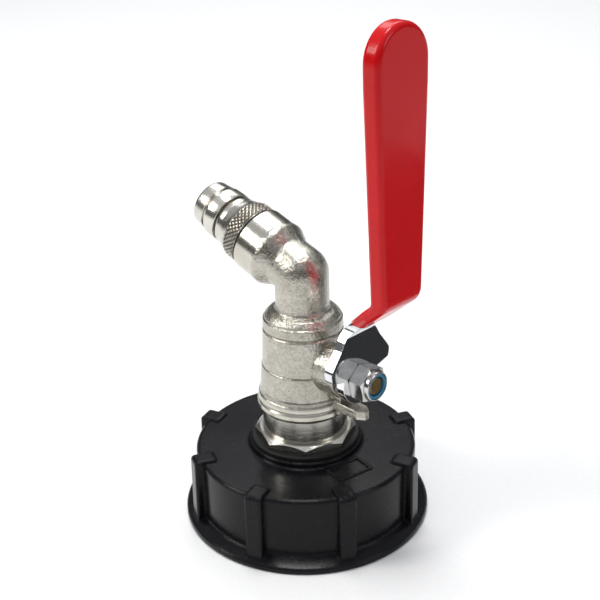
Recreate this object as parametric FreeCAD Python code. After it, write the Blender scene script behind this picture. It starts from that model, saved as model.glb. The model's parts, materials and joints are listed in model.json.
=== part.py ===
import FreeCAD, Part
import math
import os

# Tank-cap ball valve with a lever and a hose tail. All sizes are in millimetres.
# Frame: the origin is the centre of the cap's bottom rim, +Z runs up the pipe axis and
# +X runs along the valve stem towards the handle. The spout points towards -X.
# The lever stands upright, along +Z, when the valve is open.

V = FreeCAD.Vector

# ---- clearances ----
RUN_GAP = 0.05          # radial clearance of a turning fit
SEAT_GAP = 0.08         # between the ball and its seats
SLIP_GAP = 0.10         # radial clearance of a piece that drops into place
THREAD_GAP = 0.10       # radial clearance between mated threads
TANG_GAP = 0.05         # each side of the stem's tang in the ball's slot
STOP_GAP = 0.25         # left between the lever's ear and the stop lug at the end of travel

# ---- tank cap ----
FLANGE_R = 38.5
FLANGE_LIP_H = 2.0      # height of the flange's edge
FLANGE_H = 3.6          # where the sloping flange meets the wall
CAP_WALL_R = 34.3
CAP_H = 22.9            # top face
ROOF_T = 4.0
CAP_BOSS_R = 17.6       # raised centre
CAP_BOSS_H = 2.0
CAP_THREAD_MINOR_R = 28.2
CAP_THREAD_DEPTH = 2.0
CAP_THREAD_PITCH = 6.0
CAP_THREAD_TURNS = 2.6
RIB_COUNT = 8
RIB_FIRST_DEG = 19.0
RIB_W = 5.4
RIB_PROUD = 2.6         # how far a rib stands out of the wall
RIB_RISE = 0.9          # how far it stands above the top face
RIB_REACH = 5.2         # how far it runs inwards over the top face
MARK_RISE = 0.4         # plain moulded frame on the top face
MARK_LINE_W = 0.7
MARK_W = 7.4
MARK_L = 12.0
MARK_FROM_AXIS = 18.6   # nearest side of the frame
MARK_DEG = -10.0        # where the frame's middle is, round the cap
GASKET_T = 2.5
GASKET_IN_R = 21.5

# ---- inlet nipple, its washers and its locknut ----
OCTAGON_AF = 29.0
OCTAGON_T = 2.5
FLANGE_WASHER_T = 1.5
FLANGE_WASHER_R = 16.9
NECK_R = 13.05
NECK_H = 7.5
SHANK_R = 13.2          # crest of the thread that passes through the cap
SHANK_PITCH = 1.814
SHANK_THREAD_DEPTH = 1.1
INLET_BORE_R = 7.0
LOCKNUT_AF = 34.0
LOCKNUT_T = 6.0
LOCKNUT_WASHER_T = 1.5
LOCKNUT_WASHER_R = 19.5
SHANK_BELOW_NUT = 2.4

# ---- valve body ----
BODY_THREAD_R = 12.0    # crest of the nipple's upper thread
BODY_THREAD_DEPTH = 0.8
BODY_THREAD_PITCH = 1.5
BODY_THREAD_L = 6.4
SEAL_T = 1.0
SEAL_OUT_R = 12.85
CAVITY_R = 10.4
PASSAGE_R = 6.0
PIPE_R = 8.1
RIM_R = 14.5            # widest ring, at the mouth
BARREL_R = 13.45        # barrel just above the mouth's rings
DRUM_R = 12.25          # drum under the shoulder
STEM_BOSS_R = 7.4
STEM_BOSS_X = 18.4      # end face of the stem boss
LUG_REACH = 25.6        # how far the stop lug runs out along +X
LUG_TOP_BELOW_STEM = 9.6
LUG_T = 3.1
ARROW_RISE = 0.35

# ---- spout ----
ELBOW_ABOVE_STEM = 27.2
SPOUT_TILT = 72.0       # degrees from +Z towards -X
SPOUT_L = 18.9          # from the elbow's centre to the boss's end face
SPOUT_BOSS_R = 10.15
SPOUT_BOSS_L = 8.0
TAIL_THREAD_R = 8.3     # crest of the hose tail's thread
TAIL_THREAD_DEPTH = 0.8
TAIL_THREAD_PITCH = 1.337
TAIL_THREAD_L = 7.0

# ---- ball and seats ----
BALL_R = 9.5
BALL_BORE_R = 6.0
SEAT_IN_R = 6.3
SEAT_NEAR = 5.2         # the seat's near face, from the ball's centre
SEAT_FAR = 8.6          # its far face
SLOT_W = 3.0
SLOT_DEPTH = 3.2

# ---- stem ----
STEM_R = 4.0
STEM_COLLAR_R = 5.2
STEM_COLLAR_T = 1.8
STEM_COLLAR_X = 9.7     # inner face of the collar
THRUST_WASHER_T = 0.8
ORING_SECTION_R = 0.75
ORING_XS = (14.2, 16.6)
TANG_W = 7.0
STEM_FLATS = 5.5        # across the two flats that drive the lever
SHANK_M6_R = 3.0

# ---- lever and its nut ----
PLATE_X = 20.5          # back face of the lever's plate
STEEL_T = 2.8
DISC_R = 7.4            # round lower edge of the plate
EAR_R = 12.6
EAR_EDGE_DEG = 15.0     # the ear's lower edge, above the horizontal
NECK_HALF_W = 4.6       # narrowest, where the blade starts to lean out
EAR_SHOULDER = ((9.9, 9.8, 2.0), (8.3, 11.9, 2.0), (6.9, 14.3, 1.5))
BEND_START = 17.3       # height above the stem where the blade starts to lean out
BEND_RISE = 12.6
BEND_OUT = 14.2         # how far the blade stands in front of the plate
NECK_L = 1.6            # height of the narrowest part, from the start of the lean
BLADE_FLARE = 5.6       # height over which the blade widens from its neck
BLADE_LEAN_BACK = 1.4   # how far the blade's tip leans back towards the pipe
BLADE_TOP = 103.2       # tip of the steel, above the stem
BLADE_ROOT_HALF_W = 6.4
BLADE_TIP_HALF_W = 8.7
GRIP_T = 1.5            # thickness of the vinyl
GRIP_EDGE_T = 0.55      # its thickness at the lower edge
GRIP_UP_BEND = 2.9      # lower edge of the vinyl, above the start of the lean
GRIP_ROUND_R = 1.6      # rounding of its long edges
NUT_AF = 10.0
NUT_T = 5.0
NUT_COLLAR_R = 4.5
NUT_COLLAR_T = 1.4
INSERT_T = 1.3

# ---- hose tail, measured along the spout from the O-ring's middle ----
TAIL_ORING_T = 0.9
TAIL_ORING_R = 9.75
TAIL_COLLAR_R = 9.7
TAIL_COLLAR_END = 5.3
TAIL_SHOULDER_R = 8.65
TAIL_LAND_R = 8.1
TAIL_LAND_START = 8.9
GROOVES = ((10.5, 11.7), (16.0, 17.4))
GROOVE_R = 6.9
TAIL_NOSE_R = 7.6
TAIL_TIP_R = 6.7
TAIL_L = 21.9
TAIL_BORE_R = 4.6

# ---- places worked out from the sizes above ----
ROOF_Z = CAP_H - ROOF_T
CAP_TOP_Z = CAP_H + CAP_BOSS_H
OCTAGON_Z = CAP_TOP_Z + FLANGE_WASHER_T
NECK_Z = OCTAGON_Z + OCTAGON_T
MOUTH_Z = NECK_Z + NECK_H
SEAL_TOP_Z = MOUTH_Z + SEAL_T
CAVITY_Z = SEAL_TOP_Z + BODY_THREAD_L
STEM_Z = CAVITY_Z + SEAT_FAR + 0.2
OUTLET_SHOULDER_Z = STEM_Z + SEAT_FAR
NIPPLE_TOP_Z = STEM_Z - SEAT_FAR
LOCKNUT_TOP_Z = ROOF_Z - LOCKNUT_WASHER_T
LOCKNUT_Z = LOCKNUT_TOP_Z - LOCKNUT_T
SHANK_Z = LOCKNUT_Z - SHANK_BELOW_NUT
ELBOW_Z = STEM_Z + ELBOW_ABOVE_STEM
COLLAR_SEAT_X = STEM_COLLAR_X + STEM_COLLAR_T + THRUST_WASHER_T
NUT_X = PLATE_X + STEEL_T
STEM_END_X = NUT_X + NUT_T + NUT_COLLAR_T - 0.6
GRIP_START = BEND_START + GRIP_UP_BEND
TAIL_ORING_S = SPOUT_L + TAIL_ORING_T / 2


# ---- outlines and turned solids ----
def outline(corners, place):
    """Closed wire through (u, v, radius) corners, each rounded by a tangent arc."""
    before = corners[-1:] + corners[:-1]
    corners = [c for b, c in zip(before, corners) if math.dist(b[:2], c[:2]) > 1e-6]
    points = [V(u, v, 0) for u, v, _ in corners]
    stretches = []
    for i, (_, _, radius) in enumerate(corners):
        here = points[i]
        back = (points[i - 1] - here).normalize()
        ahead = (points[(i + 1) % len(points)] - here).normalize()
        if radius == 0:
            stretches.append((here, None, here))
            continue
        half = back.getAngle(ahead) / 2
        inward = (back + ahead).normalize()
        run = radius / math.tan(half)
        middle = here + inward * (radius / math.sin(half) - radius)
        stretches.append((here + back * run, middle, here + ahead * run))
    edges = []
    for i, (start, middle, end) in enumerate(stretches):
        if middle is not None:
            arc = Part.Arc(place(start.x, start.y), place(middle.x, middle.y), place(end.x, end.y))
            edges.append(arc.toShape())
        after = stretches[(i + 1) % len(stretches)][0]
        if (after - end).Length > 1e-6:
            edges.append(Part.LineSegment(place(end.x, end.y), place(after.x, after.y)).toShape())
    return Part.Wire(edges)


def lathe(corners):
    """Solid of revolution about Z from (radius, height, corner radius) points."""
    face = Part.Face(outline(corners, lambda u, v: V(u, 0, v)))
    return face.revolve(V(0, 0, 0), V(0, 0, 1), 360)


def slab(corners, place, along):
    """Flat outline extruded by the vector along."""
    return Part.Face(outline(corners, place)).extrude(along)


def cylinder(radius, low, high):
    return Part.makeCylinder(radius, high - low, V(0, 0, low))


def tube(inner, outer, low, high):
    return cylinder(outer, low, high).cut(cylinder(inner, low - 1, high + 1))


def prism(sides, across_flats, low, high):
    """Upright prism with a corner on +X."""
    corner_r = across_flats / 2 / math.cos(math.pi / sides)
    corners = []
    for i in range(sides + 1):
        turn = 2 * math.pi * i / sides
        corners.append(V(corner_r * math.cos(turn), corner_r * math.sin(turn), low))
    return Part.Face(Part.makePolygon(corners)).extrude(V(0, 0, high - low))


def thread(crest, depth, low, high, pitch):
    """(radius, height, 0) points of V-shaped thread rings from low to high, crests outwards."""
    turns = int((high - low) / pitch)
    start = (low + high - turns * pitch) / 2
    points = []
    for i in range(turns):
        points.append((crest - depth, start + i * pitch, 0))
        points.append((crest, start + (i + 0.4) * pitch, 0))
        points.append((crest, start + (i + 0.6) * pitch, 0))
    points.append((crest - depth, start + turns * pitch, 0))
    return points


def widened(points, gap):
    return [(r + gap, z, c) for r, z, c in points]


def on_stem(shape):
    """From a model about Z to the stem's place: Z becomes +X."""
    shape.rotate(V(0, 0, 0), V(0, 1, 0), 90)
    shape.translate(V(0, 0, STEM_Z))
    return shape


def on_spout(shape):
    """From a model about Z to the spout's axis, which starts at the elbow's centre."""
    shape.rotate(V(0, 0, 0), V(0, 1, 0), -SPOUT_TILT)
    shape.translate(V(0, 0, ELBOW_Z))
    return shape


def ring(section_r, ring_r, height):
    return Part.makeTorus(ring_r, section_r, V(0, 0, height))


# ---- tank cap ----
def cap_rib():
    """One grip rib on the +X side: an upright bar whose head wraps over the top edge."""
    outer = CAP_WALL_R + RIB_PROUD
    top = CAP_H + RIB_RISE
    inner = outer - RIB_PROUD - RIB_REACH
    side = [
        (inner + 2.5, FLANGE_LIP_H + 0.4, 0),
        (outer, FLANGE_LIP_H + 0.4, 0),
        (outer - 0.3, top, 1.3),
        (inner + 0.8, top, 0.8),
        (inner, CAP_H - 0.4, 0),
        (inner + 2.5, CAP_H - 0.4, 0),
    ]
    bar = slab(side, lambda u, v: V(u, -RIB_W / 2, v), V(0, RIB_W, 0))
    rim = []
    for edge in bar.Edges:
        box = edge.BoundBox
        on_side = box.YLength < 1e-6
        outside = box.Center.x > CAP_WALL_R + 0.4 or box.Center.z > CAP_H + 0.2
        if on_side and outside and box.ZMin > FLANGE_LIP_H:
            rim.append(edge)
    return bar.makeFillet(0.6, rim)


def thread_groove():
    """Helical groove of the cap's coarse thread, running out through the bottom rim."""
    root = CAP_THREAD_MINOR_R + CAP_THREAD_DEPTH
    start_z = -CAP_THREAD_PITCH * 0.5
    helix = Part.makeHelix(CAP_THREAD_PITCH, CAP_THREAD_PITCH * CAP_THREAD_TURNS, root)
    helix.translate(V(0, 0, start_z))
    inside = CAP_THREAD_MINOR_R - 1.0
    corners = [
        V(inside, 0, start_z - 2.1),
        V(CAP_THREAD_MINOR_R, 0, start_z - 1.9),
        V(root, 0, start_z - 1.0),
        V(root, 0, start_z + 1.2),
        V(CAP_THREAD_MINOR_R, 0, start_z + 2.0),
        V(inside, 0, start_z + 2.2),
    ]
    profile = Part.makePolygon(corners + corners[:1])
    return Part.Wire(helix.Edges).makePipeShell([profile], True, True)


def cap_mark():
    """Plain empty frame moulded on the cap's top."""
    low, high = CAP_H - 0.4, CAP_H + MARK_RISE
    outer = Part.makeBox(MARK_W, MARK_L, high - low, V(MARK_FROM_AXIS, -MARK_L / 2, low))
    inner = Part.makeBox(
        MARK_W - 2 * MARK_LINE_W, MARK_L - 2 * MARK_LINE_W, high - low,
        V(MARK_FROM_AXIS + MARK_LINE_W, -MARK_L / 2 + MARK_LINE_W, low),
    )
    frame = outer.cut(inner)
    frame.rotate(V(0, 0, 0), V(0, 0, 1), MARK_DEG)
    return frame


def tank_cap():
    hole_r = SHANK_R + SLIP_GAP * 2
    shell = lathe([
        (hole_r, ROOF_Z, 0),
        (CAP_THREAD_MINOR_R, ROOF_Z, 0),
        (CAP_THREAD_MINOR_R, 2.4, 0),
        (CAP_THREAD_MINOR_R + 2.4, 0, 0),
        (FLANGE_R, 0, 0.5),
        (FLANGE_R, FLANGE_LIP_H, 0.6),
        (CAP_WALL_R, FLANGE_H, 0.8),
        (CAP_WALL_R, CAP_H, 1.2),
        (CAP_BOSS_R, CAP_H, 0.6),
        (CAP_BOSS_R, CAP_TOP_Z, 0.6),
        (hole_r, CAP_TOP_Z, 0),
    ])
    rib = cap_rib()
    raised = []
    for i in range(RIB_COUNT):
        turned = rib.copy()
        turned.rotate(V(0, 0, 0), V(0, 0, 1), RIB_FIRST_DEG + 360 / RIB_COUNT * i)
        raised.append(turned)
    raised.append(cap_mark())
    return shell.fuse(raised).cut(thread_groove())


def cap_gasket():
    return lathe([
        (GASKET_IN_R, ROOF_Z - GASKET_T, 0.4),
        (CAP_THREAD_MINOR_R - SLIP_GAP, ROOF_Z - GASKET_T, 0.4),
        (CAP_THREAD_MINOR_R - SLIP_GAP, ROOF_Z, 0),
        (GASKET_IN_R, ROOF_Z, 0),
    ])


# ---- inlet nipple and what holds it in the cap ----
def inlet_nipple():
    """Octagon flange, threaded shank below it, smooth neck and body thread above it."""
    shank = thread(SHANK_R, SHANK_THREAD_DEPTH, SHANK_Z + 0.6, CAP_H, SHANK_PITCH)
    upper = thread(BODY_THREAD_R, BODY_THREAD_DEPTH, SEAL_TOP_Z, CAVITY_Z - 0.4, BODY_THREAD_PITCH)
    root = SHANK_R - SHANK_THREAD_DEPTH
    upper_root = BODY_THREAD_R - BODY_THREAD_DEPTH
    nose_r = CAVITY_R - SLIP_GAP
    turned = lathe(
        [(INLET_BORE_R, SHANK_Z, 0.5), (root, SHANK_Z, 0)]
        + shank
        + [(root, CAP_H + 0.5, 0), (SHANK_R, CAP_H + 1.2, 0)]
        + [(SHANK_R, OCTAGON_Z + 1, 0), (NECK_R, OCTAGON_Z + 1.001, 0)]
        + [(NECK_R, MOUTH_Z, 0), (upper_root, MOUTH_Z, 0)]
        + upper
        + [(upper_root, CAVITY_Z - 0.2, 0), (nose_r, CAVITY_Z - 0.2, 0)]
        + [(nose_r, NIPPLE_TOP_Z, 0), (SEAT_IN_R, NIPPLE_TOP_Z, 0)]
        + [(SEAT_IN_R, NIPPLE_TOP_Z - 4, 0), (INLET_BORE_R, NIPPLE_TOP_Z - 5, 0)]
    )
    corner_r = OCTAGON_AF / 2 / math.cos(math.pi / 8)
    chamfer = lathe([
        (INLET_BORE_R + 1, OCTAGON_Z, 0),
        (corner_r - 0.3, OCTAGON_Z, 0),
        (corner_r + 0.05, OCTAGON_Z + 0.3, 0),
        (corner_r + 0.05, NECK_Z - 1.2, 0),
        (corner_r - 1.5, NECK_Z, 0),
        (INLET_BORE_R + 1, NECK_Z, 0),
    ])
    return turned.fuse(prism(8, OCTAGON_AF, OCTAGON_Z, NECK_Z).common(chamfer))


def flange_washer():
    return lathe([
        (SHANK_R + SLIP_GAP, CAP_TOP_Z, 0),
        (FLANGE_WASHER_R, CAP_TOP_Z, 0),
        (FLANGE_WASHER_R, OCTAGON_Z, 0.6),
        (SHANK_R + SLIP_GAP, OCTAGON_Z, 0),
    ])


def locknut_washer():
    return tube(SHANK_R + SLIP_GAP, LOCKNUT_WASHER_R, LOCKNUT_TOP_Z, ROOF_Z)


def locknut():
    """Hexagon nut on the shank, with a bevelled lower face."""
    corner_r = LOCKNUT_AF / 2 / math.cos(math.pi / 6)
    blank = prism(6, LOCKNUT_AF, LOCKNUT_Z, LOCKNUT_TOP_Z).common(lathe([
        (0, LOCKNUT_Z, 0),
        (corner_r - 2.4, LOCKNUT_Z, 0),
        (corner_r + 0.1, LOCKNUT_Z + 1.4, 0),
        (corner_r + 0.1, LOCKNUT_TOP_Z, 0),
        (0, LOCKNUT_TOP_Z, 0),
    ]))
    male = thread(SHANK_R, SHANK_THREAD_DEPTH, SHANK_Z + 0.6, CAP_H, SHANK_PITCH)
    hole = [(0, SHANK_Z, 0)] + widened(male, THREAD_GAP) + [(0, CAP_H, 0)]
    return blank.cut(lathe(hole))


# ---- valve body ----
def body_shell():
    """Turned outside of the body, from the mouth's rings to the shoulder under the spout."""
    mouth, top = MOUTH_Z, ELBOW_Z
    return lathe([
        (0, mouth, 0),
        (RIM_R - 0.8, mouth, 0),
        (RIM_R, mouth + 0.9, 0.7),
        (RIM_R, mouth + 2.6, 0.35),
        (RIM_R - 0.45, mouth + 3.0, 0.25),
        (RIM_R - 0.3, mouth + 3.5, 0.3),
        (RIM_R - 0.4, mouth + 5.0, 0.3),
        (BARREL_R + 0.2, mouth + 5.5, 0.25),
        (BARREL_R + 0.25, mouth + 6.3, 0.3),
        (BARREL_R, mouth + 6.9, 0.4),
        (BARREL_R - 0.5, STEM_Z - 2.0, 0.3),
        (DRUM_R + 0.4, STEM_Z - 1.6, 0.3),
        (DRUM_R, OUTLET_SHOULDER_Z + 1.0, 0.25),
        (DRUM_R - 0.45, OUTLET_SHOULDER_Z + 1.5, 0.15),
        (DRUM_R - 0.05, OUTLET_SHOULDER_Z + 2.1, 0.3),
        (DRUM_R - 0.2, OUTLET_SHOULDER_Z + 4.7, 0.3),
        (DRUM_R - 0.75, OUTLET_SHOULDER_Z + 5.1, 0.15),
        (DRUM_R - 0.7, OUTLET_SHOULDER_Z + 5.6, 0.3),
        (DRUM_R - 2.0, OUTLET_SHOULDER_Z + 6.9, 1.6),
        (PIPE_R, OUTLET_SHOULDER_Z + 7.6, 1.0),
        (PIPE_R, top, 0),
        (0, top, 0),
    ])


def spout_outside():
    """Pipe stub, cast collar and machined boss, about the spout's own axis."""
    start = SPOUT_L - SPOUT_BOSS_L
    return on_spout(lathe([
        (0, 0, 0),
        (PIPE_R, 0, 0),
        (PIPE_R, start - 5.2, 3.0),
        (SPOUT_BOSS_R + 0.1, start - 1.0, 1.8),
        (SPOUT_BOSS_R + 0.1, start + 0.2, 0.3),
        (SPOUT_BOSS_R, start + 1.2, 0.3),
        (SPOUT_BOSS_R, SPOUT_L, 0.3),
        (0, SPOUT_L, 0),
    ]))


def stem_boss():
    return on_stem(lathe([
        (0, 0, 0),
        (STEM_BOSS_R + 0.3, 0, 0),
        (STEM_BOSS_R, STEM_BOSS_X, 0.6),
        (0, STEM_BOSS_X, 0),
    ]))


def lug_half_width():
    """Half-width that leaves STOP_GAP to the ear's edge after a quarter turn."""
    return LUG_TOP_BELOW_STEM * math.tan(math.radians(EAR_EDGE_DEG)) - STOP_GAP


def stop_lug():
    """Bar that stops the lever's ears, and the web that ties it to the stem boss."""
    half = lug_half_width()
    top = STEM_Z - LUG_TOP_BELOW_STEM
    bar = slab(
        [
            (CAVITY_R + 1, -half, 0),
            (LUG_REACH - 2.2, -half, 0.3),
            (LUG_REACH, -half + 1.5, 0.3),
            (LUG_REACH, half - 1.5, 0.3),
            (LUG_REACH - 2.2, half, 0.3),
            (CAVITY_R + 1, half, 0),
        ],
        lambda u, v: V(u, v, top - LUG_T),
        V(0, 0, LUG_T),
    )
    bar = bar.makeFillet(0.35, [e for e in bar.Edges if e.BoundBox.ZLength < 1e-6
                                and e.BoundBox.XMax > CAVITY_R + 2])
    web = Part.makeBox(
        STEM_BOSS_X - 1.6 - CAVITY_R - 1, 2 * half - 0.8, LUG_TOP_BELOW_STEM - STEM_BOSS_R + LUG_T,
        V(CAVITY_R + 1, -half + 0.4, top - LUG_T + 0.6),
    )
    return bar.fuse(web)


def flow_arrow(shell_r):
    """Plain raised arrow on the barrel, pointing along the flow."""
    low, high = STEM_Z - 6.5, STEM_Z + 5.5
    flat = slab(
        [(-0.7, low, 0), (0.7, low, 0), (0.7, high - 4, 0), (2.3, high - 4, 0), (0, high, 0),
         (-2.3, high - 4, 0), (-0.7, high - 4, 0)],
        lambda u, v: V(u, -shell_r - 4, v),
        V(0, 8, 0),
    )
    skin = lathe([
        (CAVITY_R + 1, MOUTH_Z + 6.9, 0),
        (BARREL_R + ARROW_RISE, MOUTH_Z + 6.9, 0),
        (BARREL_R - 0.5 + ARROW_RISE, STEM_Z - 2.0, 0),
        (DRUM_R + 0.4 + ARROW_RISE, STEM_Z - 1.6, 0),
        (DRUM_R + ARROW_RISE, OUTLET_SHOULDER_Z + 1.0, 0),
        (CAVITY_R + 1, OUTLET_SHOULDER_Z + 1.0, 0),
    ])
    arrow = flat.common(skin)
    arrow.rotate(V(0, 0, 0), V(0, 0, 1), -82)
    return arrow


def body_hollow():
    """Everything that is cut out of the body: mouth, cavity, passage and stem bore."""
    male = thread(BODY_THREAD_R, BODY_THREAD_DEPTH, SEAL_TOP_Z, CAVITY_Z - 0.4, BODY_THREAD_PITCH)
    root = BODY_THREAD_R - BODY_THREAD_DEPTH + THREAD_GAP
    seal_r = SEAL_OUT_R + RUN_GAP
    along_pipe = lathe(
        [(0, MOUTH_Z - 1, 0), (seal_r, MOUTH_Z - 1, 0), (seal_r, SEAL_TOP_Z, 0), (root, SEAL_TOP_Z, 0)]
        + widened(male, THREAD_GAP)
        + [(root, CAVITY_Z - 0.1, 0), (CAVITY_R, CAVITY_Z, 0)]
        + [(CAVITY_R, OUTLET_SHOULDER_Z, 0), (PASSAGE_R, OUTLET_SHOULDER_Z, 0)]
        + [(PASSAGE_R, ELBOW_Z, 0), (0, ELBOW_Z, 0)]
    )
    tail = thread(TAIL_THREAD_R, TAIL_THREAD_DEPTH, SPOUT_L - TAIL_THREAD_L, SPOUT_L - 0.4,
                  TAIL_THREAD_PITCH)
    tail_root = TAIL_THREAD_R - TAIL_THREAD_DEPTH + THREAD_GAP
    along_spout = on_spout(lathe(
        [(0, 0, 0), (PASSAGE_R, 0, 0), (PASSAGE_R, SPOUT_L - TAIL_THREAD_L - 1.5, 0)]
        + [(tail_root, SPOUT_L - TAIL_THREAD_L - 0.5, 0)]
        + widened(tail, THREAD_GAP)
        + [(tail_root, SPOUT_L + 1, 0), (0, SPOUT_L + 1, 0)]
    ))
    knee = Part.makeSphere(PASSAGE_R, V(0, 0, ELBOW_Z))
    stem_bore = on_stem(lathe([
        (0, 4, 0),
        (STEM_COLLAR_R + SLIP_GAP, 4, 0),
        (STEM_COLLAR_R + SLIP_GAP, COLLAR_SEAT_X, 0),
        (STEM_R + RUN_GAP, COLLAR_SEAT_X, 0),
        (STEM_R + RUN_GAP, STEM_BOSS_X + 1, 0),
        (0, STEM_BOSS_X + 1, 0),
    ]))
    return along_pipe.fuse([along_spout, knee, stem_bore])


def valve_body():
    knee = Part.makeSphere(PIPE_R, V(0, 0, ELBOW_Z))
    outside = body_shell().fuse([spout_outside(), knee, stem_boss(), stop_lug()])
    outside = outside.fuse(flow_arrow(BARREL_R))
    return outside.cut(body_hollow())


def body_seal():
    return tube(BODY_THREAD_R + SLIP_GAP, SEAL_OUT_R, MOUTH_Z, SEAL_TOP_Z)


# ---- ball, seats and stem ----
def seat(up):
    """PTFE seat with a spherical face; up is +1 for the outlet seat and -1 for the inlet."""
    near, far = STEM_Z + up * SEAT_NEAR, STEM_Z + up * SEAT_FAR
    blank = tube(SEAT_IN_R, CAVITY_R - RUN_GAP, min(near, far), max(near, far))
    return blank.cut(Part.makeSphere(BALL_R + SEAT_GAP, V(0, 0, STEM_Z)))


def ball():
    """Ball with a through bore and a slot for the stem's tang, bore along Z when open."""
    sphere = Part.makeSphere(BALL_R, V(0, 0, STEM_Z))
    bore = cylinder(BALL_BORE_R, STEM_Z - 2 * BALL_R, STEM_Z + 2 * BALL_R)
    slot = Part.makeBox(
        SLOT_DEPTH + 1, SLOT_W, 2 * BALL_R, V(BALL_R - SLOT_DEPTH, -SLOT_W / 2, STEM_Z - BALL_R)
    )
    return sphere.cut([bore, slot])


def stem():
    """Tang, collar, shaft with two O-ring grooves, drive flats and threaded end."""
    groove_r = STEM_R - 2 * ORING_SECTION_R - RUN_GAP
    shaft = [(0, STEM_COLLAR_X, 0), (STEM_COLLAR_R, STEM_COLLAR_X, 0.3)]
    shaft += [(STEM_COLLAR_R, STEM_COLLAR_X + STEM_COLLAR_T, 0)]
    shaft += [(STEM_R, STEM_COLLAR_X + STEM_COLLAR_T, 0)]
    for x in ORING_XS:
        low, high = x - ORING_SECTION_R - SLIP_GAP, x + ORING_SECTION_R + SLIP_GAP
        shaft += [(STEM_R, low, 0), (groove_r, low, 0), (groove_r, high, 0), (STEM_R, high, 0)]
    flats_end = NUT_X - 0.3
    shaft += [(STEM_R, flats_end, 0), (SHANK_M6_R, flats_end, 0)]
    shaft += [(SHANK_M6_R, STEM_END_X - 0.6, 0), (SHANK_M6_R - 0.6, STEM_END_X, 0)]
    shaft += [(0, STEM_END_X, 0)]
    turned = on_stem(lathe(shaft))
    for side in (-1, 1):
        flat = Part.makeBox(flats_end - PLATE_X, STEM_R, 2 * STEM_R + 1,
                            V(PLATE_X, 0, STEM_Z - STEM_R - 0.5))
        flat.translate(V(0, STEM_FLATS / 2 if side > 0 else -STEM_FLATS / 2 - STEM_R, 0))
        turned = turned.cut(flat)
    tang_x = BALL_R - SLOT_DEPTH + TANG_GAP * 2
    tang_t = SLOT_W - 2 * TANG_GAP
    tang = Part.makeBox(STEM_COLLAR_X + 0.5 - tang_x, tang_t, TANG_W,
                        V(tang_x, -tang_t / 2, STEM_Z - TANG_W / 2))
    return turned.fuse(tang)


def thrust_washer():
    inner = STEM_COLLAR_X + STEM_COLLAR_T
    return on_stem(tube(STEM_R + RUN_GAP, STEM_COLLAR_R, inner, COLLAR_SEAT_X))


def stem_oring(x):
    return on_stem(ring(ORING_SECTION_R, STEM_R - ORING_SECTION_R, x))


# ---- lever, grip and nut ----
def plate_outline():
    """Front view of the steel lever, as (across, above the stem, corner radius)."""
    lift = math.tan(math.radians(EAR_EDGE_DEG))
    right = [
        (DISC_R * 0.985, DISC_R * lift, 0),
        (EAR_R - 0.5, (EAR_R - 0.5) * lift, 0.9),
        (EAR_R, 6.2, 2.6),
        *EAR_SHOULDER,
        (NECK_HALF_W, BEND_START + 0.6, 2.0),
        (NECK_HALF_W, BEND_START + NECK_L, 1.0),
        (BLADE_ROOT_HALF_W, BEND_START + NECK_L + BLADE_FLARE, 6),
        (BLADE_TIP_HALF_W, BLADE_TOP - 14, 30),
        (BLADE_TIP_HALF_W, BLADE_TOP, BLADE_TIP_HALF_W - 0.1),
    ]
    return right + [(-u, v, r) for u, v, r in reversed(right)]


def lever_side(inner_x, outer_x, low, high, bend_r):
    """Side view of a bar that follows the lever's double bend, as (x, above the stem, radius)."""
    lean = math.atan2(BEND_OUT, BEND_RISE)
    back, front = inner_x - PLATE_X, outer_x - PLATE_X
    shift_back, shift_front = back * math.tan(lean / 2), front * math.tan(lean / 2)
    knee, top = BEND_START, BEND_START + BEND_RISE
    return [
        (inner_x, low, 0),
        (outer_x, low, 0),
        (outer_x, knee - shift_front, bend_r),
        (outer_x + BEND_OUT, top - shift_front, bend_r + STEEL_T),
        (outer_x + BEND_OUT - BLADE_LEAN_BACK, high, 0),
        (inner_x + BEND_OUT - BLADE_LEAN_BACK, high, 0),
        (inner_x + BEND_OUT, top - shift_back, bend_r),
        (inner_x, knee - shift_back, bend_r + STEEL_T),
    ]


def stem_hole(gap):
    """Double-D hole that the stem's flats drive."""
    round_hole = on_stem(cylinder(STEM_R + gap, PLATE_X - 1, NUT_X + 1))
    slot = Part.makeBox(STEEL_T + 2, STEM_FLATS + 2 * gap, 2 * STEM_R + 2,
                        V(PLATE_X - 1, -STEM_FLATS / 2 - gap, STEM_Z - STEM_R - 1))
    return round_hole.common(slot)


def blade_solid():
    """The steel lever's own shape, before its hole."""
    side = slab(
        lever_side(PLATE_X, NUT_X, -DISC_R - 1, BLADE_TOP + 1, 2.5),
        lambda u, v: V(u, -EAR_R - 1, STEM_Z + v),
        V(0, 2 * EAR_R + 2, 0),
    )
    front = slab(
        plate_outline(),
        lambda u, v: V(PLATE_X - 1, u, STEM_Z + v),
        V(BEND_OUT + STEEL_T + 2, 0, 0),
    )
    return side.common(front)


def handle_lever():
    disc = on_stem(cylinder(DISC_R, PLATE_X, NUT_X))
    return blade_solid().fuse(disc).cut(stem_hole(RUN_GAP))


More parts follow.
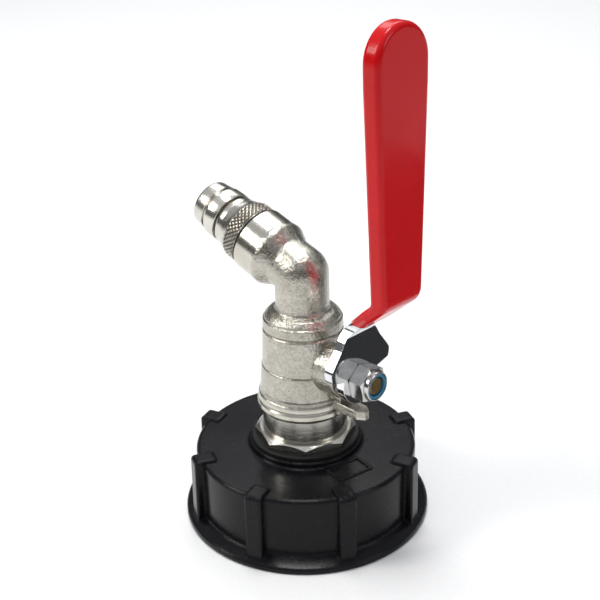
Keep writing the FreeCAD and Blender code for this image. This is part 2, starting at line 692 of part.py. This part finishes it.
def grip_outside():
    """Outside of the vinyl: thin on the leaning part, full thickness on the upright blade."""
    lean = math.atan2(BEND_OUT, BEND_RISE)
    edge = GRIP_EDGE_T / math.cos(lean)
    top = BEND_START + BEND_RISE
    front_top = top - STEEL_T * math.tan(lean / 2)
    climb = (GRIP_T - edge) / math.tan(lean)
    along = GRIP_UP_BEND * math.tan(lean)
    end = BLADE_TOP + GRIP_T
    tip_back = PLATE_X + BEND_OUT - BLADE_LEAN_BACK - GRIP_T
    side = slab(
        [
            (PLATE_X + along - edge, GRIP_START, 0),
            (PLATE_X + along + STEEL_T / math.cos(lean) + edge, GRIP_START, 0),
            (NUT_X + BEND_OUT + GRIP_T, front_top + climb, 6.0),
            (tip_back + STEEL_T + 2 * GRIP_T, end, 0),
            (tip_back, end, 0),
            (PLATE_X + BEND_OUT - GRIP_T, top - climb, 3.0),
        ],
        lambda u, v: V(u, -EAR_R, STEM_Z + v),
        V(0, 2 * EAR_R, 0),
    )
    tip = BLADE_TIP_HALF_W + GRIP_T
    flare_low = BEND_START + NECK_L
    flare_top = flare_low + BLADE_FLARE
    widening = (BLADE_ROOT_HALF_W - NECK_HALF_W) / BLADE_FLARE
    lower_flare = widening * (GRIP_START - flare_low) + GRIP_EDGE_T
    half = [
        (NECK_HALF_W + lower_flare, GRIP_START, 0),
        (BLADE_ROOT_HALF_W + GRIP_T, flare_top, 0),
        (tip, BLADE_TOP - 14, 0),
        (tip, end, tip - 0.1),
    ]
    front = slab(
        half + [(-u, v, r) for u, v, r in reversed(half)],
        lambda u, v: V(PLATE_X - 10, u, STEM_Z + v),
        V(BEND_OUT + STEEL_T + 20, 0, 0),
    )
    return side.common(front)


def handle_grip():
    """Dipped vinyl sleeve with rounded edges, closed over the blade's tip."""
    outside = grip_outside()
    long_edges = []
    for edge in outside.Edges:
        box = edge.BoundBox
        crosses = box.ZLength < 0.01 and (box.XLength > 1 or box.YLength > 1)
        if not crosses or box.ZMin > STEM_Z + BLADE_TOP and box.XLength < 1:
            long_edges.append(edge)
    return outside.makeFillet(GRIP_ROUND_R, long_edges).cut(blade_solid())


def handle_nut():
    """Hexagon lock nut with a round collar that holds a nylon ring."""
    corner_r = NUT_AF / 2 / math.cos(math.pi / 6)
    top = NUT_X + NUT_T
    end = top + NUT_COLLAR_T
    hexagon = prism(6, NUT_AF, NUT_X, top).common(lathe([
        (0, NUT_X, 0),
        (corner_r - 0.5, NUT_X, 0),
        (corner_r + 0.05, NUT_X + 0.35, 0),
        (corner_r + 0.05, top - 0.6, 0),
        (corner_r - 1.0, top, 0),
        (0, top, 0),
    ]))
    collar = lathe([(0, top - 1, 0), (NUT_COLLAR_R, top - 1, 0), (NUT_COLLAR_R, end, 0.5), (0, end, 0)])
    pocket = cylinder(NUT_COLLAR_R - 0.55, end - INSERT_T, end + 1)
    hole = cylinder(SHANK_M6_R + RUN_GAP, NUT_X - 1, end)
    nut = hexagon.fuse(collar).cut([pocket, hole])
    nut.rotate(V(0, 0, 0), V(0, 0, 1), 12)
    return on_stem(nut)


def nut_insert():
    end = NUT_X + NUT_T + NUT_COLLAR_T
    body = lathe([
        (SHANK_M6_R + RUN_GAP, end - INSERT_T, 0),
        (NUT_COLLAR_R - 0.6, end - INSERT_T, 0),
        (NUT_COLLAR_R - 0.6, end - 0.25, 0),
        (SHANK_M6_R + RUN_GAP, end - 0.25, 0.15),
    ])
    return on_stem(body)


# ---- outlet ----
def outlet_oring():
    low, high = SPOUT_L, SPOUT_L + TAIL_ORING_T
    return on_spout(lathe([
        (TAIL_THREAD_R + SLIP_GAP, low, 0),
        (TAIL_ORING_R, low, 0.3),
        (TAIL_ORING_R, high, 0.3),
        (TAIL_THREAD_R + SLIP_GAP, high, 0),
    ]))


def hose_tail():
    """Threaded end, knurled collar and grooved spigot, bored through."""
    mid = TAIL_ORING_S
    foot = SPOUT_L - TAIL_THREAD_L
    root = TAIL_THREAD_R - TAIL_THREAD_DEPTH
    start = SPOUT_L + TAIL_ORING_T
    shape = [(TAIL_BORE_R, foot, 0), (root, foot, 0)]
    shape += thread(TAIL_THREAD_R, TAIL_THREAD_DEPTH, foot, SPOUT_L - 0.4, TAIL_THREAD_PITCH)
    shape += [(root, start, 0), (TAIL_COLLAR_R, start, 0.25)]
    shape += [(TAIL_COLLAR_R, mid + TAIL_COLLAR_END, 0.4)]
    shape += [(TAIL_SHOULDER_R, mid + TAIL_COLLAR_END + 2.2, 0.8)]
    shape += [(TAIL_LAND_R, mid + TAIL_LAND_START, 0.4)]
    for low, high in GROOVES:
        shape += [(TAIL_LAND_R, mid + low, 0.2), (GROOVE_R, mid + low + 0.25, 0.15)]
        shape += [(GROOVE_R, mid + high - 0.25, 0.15)]
        if high < GROOVES[-1][1]:
            shape += [(TAIL_LAND_R, mid + high, 0.2)]
    shape += [(TAIL_NOSE_R, mid + GROOVES[-1][1], 0.2), (TAIL_TIP_R + 0.4, mid + TAIL_L, 0.8)]
    shape += [(TAIL_BORE_R, mid + TAIL_L, 0.4)]
    return on_spout(lathe(shape))


NODES = {
    "tank_cap": tank_cap(),
    "cap_gasket": cap_gasket(),
    "flange_washer": flange_washer(),
    "inlet_nipple": inlet_nipple(),
    "locknut_washer": locknut_washer(),
    "locknut": locknut(),
    "body_seal": body_seal(),
    "valve_body": valve_body(),
    "seat_inlet": seat(-1),
    "seat_outlet": seat(1),
    "ball": ball(),
    "stem": stem(),
    "stem_thrust_washer": thrust_washer(),
    "stem_oring_inner": stem_oring(ORING_XS[0]),
    "stem_oring_outer": stem_oring(ORING_XS[1]),
    "handle_lever": handle_lever(),
    "handle_grip": handle_grip(),
    "handle_nut": handle_nut(),
    "nut_insert": nut_insert(),
    "outlet_oring": outlet_oring(),
    "hose_tail": hose_tail(),
}

os.makedirs("parts", exist_ok=True)
for name, shape in NODES.items():
    solids = shape.Solids
    print(name, "solids", len(solids), "valid", shape.isValid(), "volume", round(shape.Volume, 1))
    piece = solids[0] if len(solids) == 1 else shape
    piece.exportStep(os.path.join("parts", name + ".step"))
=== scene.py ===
import json
import math

import bpy
import numpy as np
from mathutils import Matrix, Vector

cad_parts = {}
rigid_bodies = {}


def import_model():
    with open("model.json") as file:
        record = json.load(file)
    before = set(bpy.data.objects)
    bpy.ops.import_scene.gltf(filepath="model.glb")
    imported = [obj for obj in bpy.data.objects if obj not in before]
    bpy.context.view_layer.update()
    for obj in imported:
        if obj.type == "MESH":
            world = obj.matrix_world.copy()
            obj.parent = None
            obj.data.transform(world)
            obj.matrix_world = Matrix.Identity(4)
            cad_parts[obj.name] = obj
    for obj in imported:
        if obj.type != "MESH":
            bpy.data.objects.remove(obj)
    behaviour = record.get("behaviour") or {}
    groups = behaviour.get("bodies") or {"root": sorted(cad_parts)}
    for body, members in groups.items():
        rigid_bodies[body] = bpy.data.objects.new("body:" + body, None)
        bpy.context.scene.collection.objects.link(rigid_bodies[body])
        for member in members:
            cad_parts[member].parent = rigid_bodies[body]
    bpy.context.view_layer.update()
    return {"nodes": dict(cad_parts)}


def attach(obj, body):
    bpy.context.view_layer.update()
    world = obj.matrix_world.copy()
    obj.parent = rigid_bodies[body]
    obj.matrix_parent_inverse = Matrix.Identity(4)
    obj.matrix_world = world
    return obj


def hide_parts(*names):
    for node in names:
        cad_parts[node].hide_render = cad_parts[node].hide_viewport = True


for spare in list(bpy.data.objects):
    bpy.data.objects.remove(spare)
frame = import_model()
scene = bpy.context.scene

# ---- places on the object, in metres ----
MM = 0.001
MOUTH_Z = 0.0364            # lower end of the valve body
ELBOW_Z = 0.0798            # where the spout's axis meets the pipe's
SPOUT_TILT = math.radians(72)
SPOUT_DIR = Vector((-math.sin(SPOUT_TILT), 0, math.cos(SPOUT_TILT)))
SPOUT_SIDE = Vector((math.cos(SPOUT_TILT), 0, math.sin(SPOUT_TILT)))
RINGS_END = (MOUTH_Z + 0.0040, MOUTH_Z + 0.0048)   # machined below, cast above
SPOUT_BOSS_FROM = (0.0108, 0.0114)                 # along the spout; machined beyond

# ---- colours, linear RGB ----
CAST_DULL, CAST_BRIGHT = (0.54, 0.515, 0.45), (0.64, 0.615, 0.545)
CAST_PIT = (0.26, 0.24, 0.20)
NICKEL_BRIGHT, NICKEL_DULL = (0.68, 0.66, 0.60), (0.58, 0.56, 0.50)
# painted shade: the dark colour mixed into the hollows and corners of the nickel parts
NICKEL_PAINTED_SHADE = (0.20, 0.18, 0.15)
CHROME_BRIGHT, CHROME_DULL = (0.83, 0.84, 0.86), (0.74, 0.75, 0.77)
# painted shade: the dark colour mixed into the hollows and corners of the chrome lever
CHROME_PAINTED_SHADE = (0.30, 0.30, 0.30)
VINYL_LIGHT, VINYL_DEEP = (0.66, 0.006, 0.009), (0.58, 0.004, 0.007)
BLACK_PLASTIC = (0.0042, 0.0043, 0.0056)
BLACK_RUBBER = (0.004, 0.004, 0.004)
WASHER_RUBBER = (0.006, 0.006, 0.006)
NYLON_BLUE = (0.035, 0.20, 0.34)
PTFE_WHITE = (0.82, 0.82, 0.79)
STEM_BRASS = (0.42, 0.29, 0.12)
BALL_CHROME = (0.86, 0.86, 0.87)
PLAIN_STEEL = (0.70, 0.69, 0.67)
PAPER_DARK, PAPER_LIGHT = (0.86, 0.86, 0.86), (0.90, 0.90, 0.90)
CARD_DARK, CARD_LIGHT = (0.004, 0.004, 0.005), (0.010, 0.010, 0.011)


class Look:
    """One procedural material: a Principled shader, with calls that make its inputs.

    Scales are per metre, in the object's own coordinates. Depths and radii are in metres.
    """

    def __init__(self, name):
        self.material = bpy.data.materials.new(name)
        self.material.use_nodes = True
        self.tree = self.material.node_tree
        self.tree.nodes.clear()
        self.shader = self.tree.nodes.new("ShaderNodeBsdfPrincipled")
        end = self.tree.nodes.new("ShaderNodeOutputMaterial")
        self.tree.links.new(self.shader.outputs["BSDF"], end.inputs["Surface"])
        self.place = self.tree.nodes.new("ShaderNodeTexCoord").outputs["Object"]
        self.xyz = None

    def put(self, socket, value):
        if isinstance(value, bpy.types.NodeSocket):
            self.tree.links.new(value, socket)
        else:
            socket.default_value = value

    def set(self, **values):
        for name, value in values.items():
            self.put(self.shader.inputs[name.replace("_", " ")], value)

    def noise(self, scale, detail=2.0, rough=0.5, at=None):
        node = self.tree.nodes.new("ShaderNodeTexNoise")
        self.put(node.inputs["Vector"], at or self.place)
        node.inputs["Scale"].default_value = scale
        node.inputs["Detail"].default_value = detail
        node.inputs["Roughness"].default_value = rough
        return node.outputs["Fac"]

    def span(self, value, low, high, to_low=0.0, to_high=1.0):
        node = self.tree.nodes.new("ShaderNodeMapRange")
        self.put(node.inputs["Value"], value)
        node.inputs["From Min"].default_value = low
        node.inputs["From Max"].default_value = high
        node.inputs["To Min"].default_value = to_low
        node.inputs["To Max"].default_value = to_high
        return node.outputs["Result"]

    def combine(self, operation, a, b):
        node = self.tree.nodes.new("ShaderNodeMath")
        node.operation = operation
        self.put(node.inputs[0], a)
        self.put(node.inputs[1], b)
        return node.outputs[0]

    def add(self, a, b):
        return self.combine("ADD", a, b)

    def times(self, a, b):
        return self.combine("MULTIPLY", a, b)

    def colour(self, share, a, b):
        node = self.tree.nodes.new("ShaderNodeMix")
        node.data_type = "RGBA"
        inputs = {s.identifier: s for s in node.inputs}
        self.put(inputs["Factor_Float"], share)
        self.put(inputs["A_Color"], (*a, 1.0) if isinstance(a, tuple) else a)
        self.put(inputs["B_Color"], (*b, 1.0) if isinstance(b, tuple) else b)
        return {s.identifier: s for s in node.outputs}["Result_Color"]

    def axis(self, name):
        if self.xyz is None:
            node = self.tree.nodes.new("ShaderNodeSeparateXYZ")
            self.put(node.inputs[0], self.place)
            self.xyz = node.outputs
        return self.xyz[name]

    def mapped(self, vector, scale=(1, 1, 1), turn=(0, 0, 0)):
        node = self.tree.nodes.new("ShaderNodeMapping")
        self.put(node.inputs["Vector"], vector)
        node.inputs["Rotation"].default_value = turn
        node.inputs["Scale"].default_value = scale
        return node.outputs[0]

    def stretched(self, x, y, z):
        return self.mapped(self.place, scale=(x, y, z))

    def along_spout(self, z_scale):
        """Coordinates with Z along the spout, squeezed along it."""
        turned = self.mapped(self.place, turn=(0, SPOUT_TILT, 0))
        return self.mapped(turned, scale=(1, 1, z_scale))

    def rounded(self, radius):
        """Normals as if the edges were rounded."""
        node = self.tree.nodes.new("ShaderNodeBevel")
        node.samples = 4
        node.inputs["Radius"].default_value = radius
        return node.outputs[0]

    def crevice(self, distance):
        """Near 0 in hollows and corners, 1 in the open; the metals use it to paint shade into
        their colour.
        """
        node = self.tree.nodes.new("ShaderNodeAmbientOcclusion")
        node.samples = 6
        node.inputs["Distance"].default_value = distance
        return node.outputs["AO"]

    def bump(self, height, depth, strength, under=None):
        node = self.tree.nodes.new("ShaderNodeBump")
        self.put(node.inputs["Height"], height)
        self.put(node.inputs["Strength"], strength)
        node.inputs["Distance"].default_value = depth
        if under is not None:
            self.put(node.inputs["Normal"], under)
        return node.outputs[0]


def nickel_cast():
    """Nickel-plated sand casting: grainy all over but for the mouth rings and the spout's end."""
    look = Look("nickel_cast")
    z = look.axis("Z")
    grain = look.noise(scale=1350, detail=3.0, rough=0.6)
    pits = look.noise(scale=700)
    broad = look.noise(scale=95)
    along = look.add(look.times(look.axis("X"), SPOUT_DIR.x), look.times(z, SPOUT_DIR.z))
    along = look.combine("SUBTRACT", along, ELBOW_Z * SPOUT_DIR.z)
    cast = look.times(
        look.span(z, *RINGS_END),
        look.span(along, *SPOUT_BOSS_FROM, to_low=1.0, to_high=0.0),
    )
    mix = look.add(look.times(grain, 0.8), look.times(pits, 0.5))
    plate = look.colour(look.span(broad, low=0.35, high=0.65), CAST_DULL, CAST_BRIGHT)
    speck = look.colour(look.span(mix, low=0.50, high=0.85), CAST_PIT, plate)
    grainy = look.colour(look.times(cast, 0.55), plate, speck)
    # painted shade: the colour goes darker in hollows and corners, by ambient occlusion
    open_share = look.span(look.crevice(0.0022), low=0.25, high=0.85)
    look.set(
        Base_Color=look.colour(open_share, NICKEL_PAINTED_SHADE, grainy),
        Metallic=1.0,
        Roughness=look.add(
            look.span(cast, low=0.0, high=1.0, to_low=0.16, to_high=0.19),
            look.span(mix, low=0.35, high=0.85, to_low=-0.03, to_high=0.07),
        ),
        Normal=look.bump(
            mix,
            depth=0.00032,
            strength=look.span(cast, low=0.0, high=1.0, to_low=0.05, to_high=0.85),
            under=look.rounded(0.00045),
        ),
    )
    return look.material


def nickel_machined(name, on_spout=False):
    """Turned brass with bright nickel: fine lathe lines and light handling marks."""
    look = Look(name)
    if on_spout:
        lines = look.noise(scale=900, rough=0.6, at=look.along_spout(12.0))
    else:
        lines = look.noise(scale=260, rough=0.6, at=look.stretched(0.3, 0.3, 30.0))
    smudge = look.noise(scale=160, detail=3.0, rough=0.55)
    plate = look.colour(look.span(smudge, low=0.35, high=0.7), NICKEL_BRIGHT, NICKEL_DULL)
    # painted shade: the colour goes darker in hollows and corners, by ambient occlusion
    open_share = look.span(look.crevice(0.0016), low=0.2, high=0.8)
    look.set(
        Base_Color=look.colour(open_share, NICKEL_PAINTED_SHADE, plate),
        Metallic=1.0,
        Roughness=look.add(
            look.span(smudge, low=0.3, high=0.7, to_low=0.13, to_high=0.23),
            look.span(lines, low=0.3, high=0.7, to_low=0.0, to_high=0.06),
        ),
        Normal=look.bump(lines, depth=0.00005, strength=0.5, under=look.rounded(0.0002)),
    )
    return look.material


def chrome_steel():
    """Bright plate over pressed steel: nearly a mirror, faint wipe marks, a slight wave."""
    look = Look("chrome_steel")
    wipe = look.noise(scale=220, detail=4.0, rough=0.6, at=look.stretched(1.0, 1.6, 0.6))
    wave = look.noise(scale=70, detail=1.0, rough=0.4)
    plate = look.colour(look.span(wipe, low=0.35, high=0.7), CHROME_BRIGHT, CHROME_DULL)
    # painted shade: the colour goes darker in hollows and corners, by ambient occlusion
    open_share = look.span(look.crevice(0.0012), low=0.1, high=0.6)
    look.set(
        Base_Color=look.colour(open_share, CHROME_PAINTED_SHADE, plate),
        Metallic=1.0,
        Roughness=look.span(wipe, low=0.35, high=0.75, to_low=0.045, to_high=0.13),
        Normal=look.bump(wave, depth=0.0006, strength=0.35, under=look.rounded(0.00035)),
    )
    return look.material


def red_vinyl():
    """Glossy vinyl with the slow waves and small specks of a dip coat."""
    look = Look("red_vinyl")
    wave = look.noise(scale=55, rough=0.45)
    specks = look.noise(scale=1500)
    tone = look.noise(scale=38)
    look.set(
        Base_Color=look.colour(look.span(tone, low=0.3, high=0.7), VINYL_LIGHT, VINYL_DEEP),
        Roughness=look.span(specks, low=0.3, high=0.75, to_low=0.17, to_high=0.26),
        Specular_IOR_Level=0.20,
        Coat_Weight=0.10,
        Coat_Roughness=0.07,
        Subsurface_Weight=0.04,
        Subsurface_Scale=0.002,
        Normal=look.bump(look.add(wave, look.times(specks, 0.03)), depth=0.0012, strength=0.35),
    )
    return look.material


def plastic(name, tone, rough, edge_radius, shine=0.5):
    """Moulded plastic: fine skin, flow marks and paler scuffs."""
    look = Look(name)
    skin = look.noise(scale=2600, rough=0.6)
    flow = look.noise(scale=60, detail=3.0, at=look.stretched(1.0, 1.0, 0.4))
    scuff = look.noise(scale=420, detail=4.0, rough=0.62)
    paler = tuple(min(1.0, 1.45 * c + 0.006) for c in tone)
    look.set(
        Base_Color=look.colour(look.span(scuff, low=0.55, high=0.8), tone, paler),
        Roughness=look.add(
            look.span(flow, low=0.3, high=0.7, to_low=rough - 0.05, to_high=rough + 0.06),
            look.span(scuff, low=0.5, high=0.8, to_low=0.0, to_high=0.06),
        ),
        Specular_IOR_Level=shine,
        Coat_Weight=0.5 * shine,
        Coat_Roughness=0.12,
        Normal=look.bump(skin, depth=0.00005, strength=0.35, under=look.rounded(edge_radius)),
    )
    return look.material


def rubber(name, tone):
    """Moulded rubber with a patchy, paler bloom."""
    look = Look(name)
    skin = look.noise(scale=1900, detail=3.0, rough=0.6)
    bloom = look.noise(scale=240, detail=3.0)
    paler = tuple(c * 1.8 + 0.003 for c in tone)
    look.set(
        Base_Color=look.colour(look.span(bloom, low=0.45, high=0.8), tone, paler),
        Roughness=look.span(bloom, low=0.3, high=0.7, to_low=0.42, to_high=0.58),
        Specular_IOR_Level=0.25,
        Normal=look.bump(skin, depth=0.00005, strength=0.5, under=look.rounded(0.0002)),
    )
    return look.material


def turned_metal(name, tone, rough):
    """Metal turned about X, with lathe lines, dull patches and painted shade in its hollows."""
    look = Look(name)
    lines = look.noise(scale=300, rough=0.6, at=look.stretched(24.0, 0.5, 0.5))
    dull = look.noise(scale=350, detail=3.0, rough=0.55)
    darker = tuple(c * 0.76 for c in tone)
    plate = look.colour(look.span(dull, low=0.35, high=0.7), tone, darker)
    # painted shade: the colour goes darker in hollows and corners, by ambient occlusion
    open_share = look.span(look.crevice(0.0012), low=0.15, high=0.7)
    look.set(
        Base_Color=look.colour(open_share, tuple(c * 0.3 for c in tone), plate),
        Metallic=1.0,
        Roughness=look.add(
            look.span(dull, low=0.3, high=0.7, to_low=rough - 0.03, to_high=rough + 0.07),
            look.span(lines, low=0.3, high=0.7, to_low=0.0, to_high=0.05),
        ),
        Normal=look.bump(lines, depth=0.00004, strength=0.5, under=look.rounded(0.0002)),
    )
    return look.material


LOOK_NODES = [
    (nickel_cast(), ["valve_body"]),
    (nickel_machined("nickel_machined"), ["inlet_nipple", "locknut"]),
    (chrome_steel(), ["handle_lever"]),
    (red_vinyl(), ["handle_grip"]),
    (
        plastic("black_plastic", BLACK_PLASTIC, rough=0.24, edge_radius=0.0013, shine=0.15),
        ["tank_cap"],
    ),
    (
        rubber("black_rubber", BLACK_RUBBER),
        ["cap_gasket", "stem_oring_inner", "stem_oring_outer", "outlet_oring"],
    ),
    (rubber("dark_washer", WASHER_RUBBER), ["flange_washer"]),
    (plastic("blue_nylon", NYLON_BLUE, rough=0.30, edge_radius=0.00015), ["nut_insert"]),
    (
        plastic("white_ptfe", PTFE_WHITE, rough=0.45, edge_radius=0.00015),
        ["body_seal", "seat_inlet", "seat_outlet", "stem_thrust_washer"],
    ),
    (turned_metal("brass", STEM_BRASS, rough=0.34), ["stem"]),
    (turned_metal("chrome_ball", BALL_CHROME, rough=0.08), ["ball"]),
    (turned_metal("steel_plain", PLAIN_STEEL, rough=0.09), ["locknut_washer", "handle_nut"]),
]
spout_nickel = nickel_machined("nickel_spout", on_spout=True)
LOOK_NODES.append((spout_nickel, ["hose_tail"]))
for material, nodes in LOOK_NODES:
    for node in nodes:
        mesh = frame["nodes"][node].data
        mesh.materials.clear()
        mesh.materials.append(material)

# ---- hose tail, in mm: a turned shape with a diamond knurl cut into its collar ----
TAIL_MID = 19.35            # middle of the O-ring, along the spout from the elbow's centre
KNURL_FROM = TAIL_MID + 0.75
KNURL_TO = TAIL_MID + 5.0
KNURL_R = 9.7
KNURL_EDGE_R = 9.34         # the knurl runs down to this at both ends
KNURL_FADE = 0.25           # over this length
KNURL_DEPTH = 0.75
KNURL_SLOPE = 1.7           # steepness of a groove's sides
KNURL_ROUND = 40            # diamonds round the collar
KNURL_PITCH = 1.55
KNURL_STEPS = 66
TAIL_SEGMENTS = 640
TAIL_SHARP = math.radians(42)
# (distance along the spout, radius)
TAIL_BELOW_KNURL = [
    # plain shank inside the spout
    (11.9, 4.6), (11.9, 7.3), (12.1, 7.5), (19.80, 7.5),
    # collar's lower edge
    (19.80, 9.15), (19.86, 9.32), (20.02, 9.40),
]
TAIL_ABOVE_KNURL = [
    # collar's upper edge and the taper down to the land
    (24.42, 9.40), (24.60, 9.34), (24.72, 9.22), (26.60, 8.72), (26.95, 8.62),
    (28.05, 8.16), (28.45, 8.10), (29.70, 8.10),
    # first groove
    (29.86, 8.02), (29.95, 7.85), (30.05, 7.02), (30.20, 6.90), (30.75, 6.90),
    (30.90, 7.02), (31.00, 7.85), (31.08, 8.02), (31.25, 8.10),
    # land and second groove
    (35.10, 8.10), (35.28, 8.05), (35.40, 7.90), (35.52, 7.02), (35.68, 6.90),
    (36.35, 6.90), (36.52, 7.00), (36.66, 7.40), (36.86, 7.60),
    # nose, and back into the bore
    (40.30, 7.26), (40.80, 7.12), (41.08, 6.90), (41.25, 6.45), (41.25, 4.95),
    (41.10, 4.70), (40.90, 4.6),
]


def groove_distance(u):
    """0 in the middle of a groove, halfway between whole values of u, and 1 between grooves."""
    return np.abs((u % 1.0) - 0.5) * 2


def knurled_radius(s, turn):
    """Radius of the knurled collar at s along the spout, for each share of a turn."""
    right_hand = groove_distance(KNURL_ROUND * turn + s / KNURL_PITCH)
    left_hand = groove_distance(KNURL_ROUND * turn - s / KNURL_PITCH)
    left_standing = np.clip(KNURL_SLOPE * np.minimum(right_hand, left_hand), 0, 1)
    radius = KNURL_R - KNURL_DEPTH * (1 - left_standing)
    fade = min(1.0, (s - KNURL_FROM) / KNURL_FADE, (KNURL_TO - s) / KNURL_FADE)
    return np.minimum(radius, KNURL_EDGE_R + (KNURL_R - KNURL_EDGE_R) * max(0.0, fade))


def hose_tail():
    """Lathed mesh about the spout's axis, in metres."""
    turn = np.arange(TAIL_SEGMENTS) / TAIL_SEGMENTS
    knurl = np.linspace(KNURL_FROM, KNURL_TO, KNURL_STEPS + 1)
    rows = [(s, np.full(TAIL_SEGMENTS, r)) for s, r in TAIL_BELOW_KNURL]
    rows += [(s, knurled_radius(s, turn)) for s in knurl]
    rows += [(s, np.full(TAIL_SEGMENTS, r)) for s, r in TAIL_ABOVE_KNURL]
    across = np.outer(np.cos(2 * math.pi * turn), SPOUT_SIDE)
    across += np.outer(np.sin(2 * math.pi * turn), (0, 1, 0))
    elbow, out = np.array((0, 0, ELBOW_Z)), np.array(SPOUT_DIR)
    points = [elbow + out * s * MM + across * radius[:, None] * MM for s, radius in rows]
    faces = []
    for k in range(len(rows)):
        low, high = k * TAIL_SEGMENTS, (k + 1) % len(rows) * TAIL_SEGMENTS
        for j in range(TAIL_SEGMENTS):
            following = (j + 1) % TAIL_SEGMENTS
            faces.append((low + j, low + following, high + following, high + j))
    mesh = bpy.data.meshes.new("hose_tail_knurled")
    mesh.from_pydata(np.concatenate(points).tolist(), [], faces)
    mesh.validate()
    mesh.shade_smooth()
    mesh.set_sharp_from_angle(angle=TAIL_SHARP)
    mesh.materials.append(spout_nickel)
    piece = bpy.data.objects.new("hose_tail_knurled", mesh)
    scene.collection.objects.link(piece)
    return piece


tail = hose_tail()
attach(tail, "root")
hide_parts("hose_tail")

# ---- stage, in metres ----
FLOOR_HALF = 3.0
CARD_X = (0.062, 0.34)
CARD_Y = (0.030, 0.34)
CARD_Z = 0.001


def sheet(name, x_range, y_range, z, material):
    """A flat staged rectangle."""
    (x0, x1), (y0, y1) = x_range, y_range
    mesh = bpy.data.meshes.new(name)
    mesh.from_pydata([(x0, y0, z), (x1, y0, z), (x1, y1, z), (x0, y1, z)], [], [(0, 1, 2, 3)])
    mesh.materials.append(material)
    made = bpy.data.objects.new(name, mesh)
    scene.collection.objects.link(made)
    return made


paper = Look("floor_paper")
fibre = paper.noise(scale=900, detail=3.0, rough=0.6)
paper.set(
    Base_Color=paper.colour(paper.span(fibre, low=0.3, high=0.7), PAPER_DARK, PAPER_LIGHT),
    Roughness=0.85,
    Normal=paper.bump(fibre, depth=0.00005, strength=0.3),
)
sheet("floor", (-FLOOR_HALF, FLOOR_HALF), (-FLOOR_HALF, FLOOR_HALF), 0, paper.material)

# a dark card beside the object, seen only in its reflections
dark = Look("dark_card")
dark.set(Base_Color=dark.colour(dark.noise(scale=40), CARD_DARK, CARD_LIGHT), Roughness=0.9)
card = sheet("card_right", CARD_X, CARD_Y, CARD_Z, dark.material)
card.visible_camera = False
card.visible_diffuse = False
card.visible_shadow = False
card.visible_transmission = False


def lamp(name, place, aim, size, watts, colour=(1, 1, 1)):
    light = bpy.data.lights.new(name, "AREA")
    light.shape = "RECTANGLE"
    light.size, light.size_y = size
    light.energy = watts
    light.color = colour
    made = bpy.data.objects.new(name, light)
    made.location = place
    made.rotation_mode = "QUATERNION"
    made.rotation_quaternion = (Vector(aim) - Vector(place)).to_track_quat("-Z", "Y")
    scene.collection.objects.link(made)


AIM = (0.0, 0.0, 0.06)
WARM, COOL = (1.0, 0.985, 0.96), (0.95, 0.975, 1.0)
lamp("key", (-0.55, -0.75, 0.70), AIM, size=(0.35, 0.45), watts=5.0, colour=WARM)
lamp("fill", (0.85, 0.25, 0.50), AIM, size=(0.30, 0.40), watts=1.2, colour=COOL)
lamp("top", (-0.12, 0.05, 1.10), AIM, size=(0.28, 0.28), watts=5.5)
lamp("floor_back", (-0.75, 0.80, 1.20), (-0.75, 0.80, 0.0), size=(0.9, 0.9), watts=7.5)

# ---- sky: dim at the horizon, brighter overhead ----
SKY_COLOUR = (0.94, 0.965, 1.0, 1.0)
SKY_LOW_Z, SKY_HIGH_Z = 0.30, 0.75
SKY_DIM, SKY_BRIGHT = 0.10, 0.60

world = bpy.data.worlds.new("studio")
world.use_nodes = True
sky = world.node_tree
backdrop = sky.nodes["Background"]
backdrop.inputs["Color"].default_value = SKY_COLOUR
direction = sky.nodes.new("ShaderNodeTexCoord")
parts = sky.nodes.new("ShaderNodeSeparateXYZ")
brightness = sky.nodes.new("ShaderNodeMapRange")
brightness.inputs["From Min"].default_value = SKY_LOW_Z
brightness.inputs["From Max"].default_value = SKY_HIGH_Z
brightness.inputs["To Min"].default_value = SKY_DIM
brightness.inputs["To Max"].default_value = SKY_BRIGHT
sky.links.new(direction.outputs["Generated"], parts.inputs[0])
sky.links.new(parts.outputs["Z"], brightness.inputs["Value"])
sky.links.new(brightness.outputs["Result"], backdrop.inputs["Strength"])
scene.world = world

# ---- camera ----
CAMERA_PLACE = (0.2150, -0.2150, 0.2124)
CAMERA_RIGHT = (0.7132, 0.7006, -0.0226)
CAMERA_FORWARD = (-0.6421, 0.6401, -0.4219)
CAMERA_LENS = 67.84
CAMERA_SENSOR = 36.0
CAMERA_SHIFT_X = -0.0012

lens = bpy.data.cameras.new("camera")
lens.lens = CAMERA_LENS
lens.sensor_width = CAMERA_SENSOR
lens.shift_x = CAMERA_SHIFT_X
lens.clip_start = 0.01
lens.clip_end = 20.0
right = Vector(CAMERA_RIGHT).normalized()
up = right.cross(Vector(CAMERA_FORWARD).normalized()).normalized()
forward = up.cross(right).normalized()
facing = Matrix((right, up, -forward)).transposed()
camera = bpy.data.objects.new("camera", lens)
camera.matrix_world = Matrix.Translation(CAMERA_PLACE) @ facing.to_4x4()
scene.collection.objects.link(camera)
scene.camera = camera
scene.view_settings.view_transform = "Standard"
scene.view_settings.look = "None"
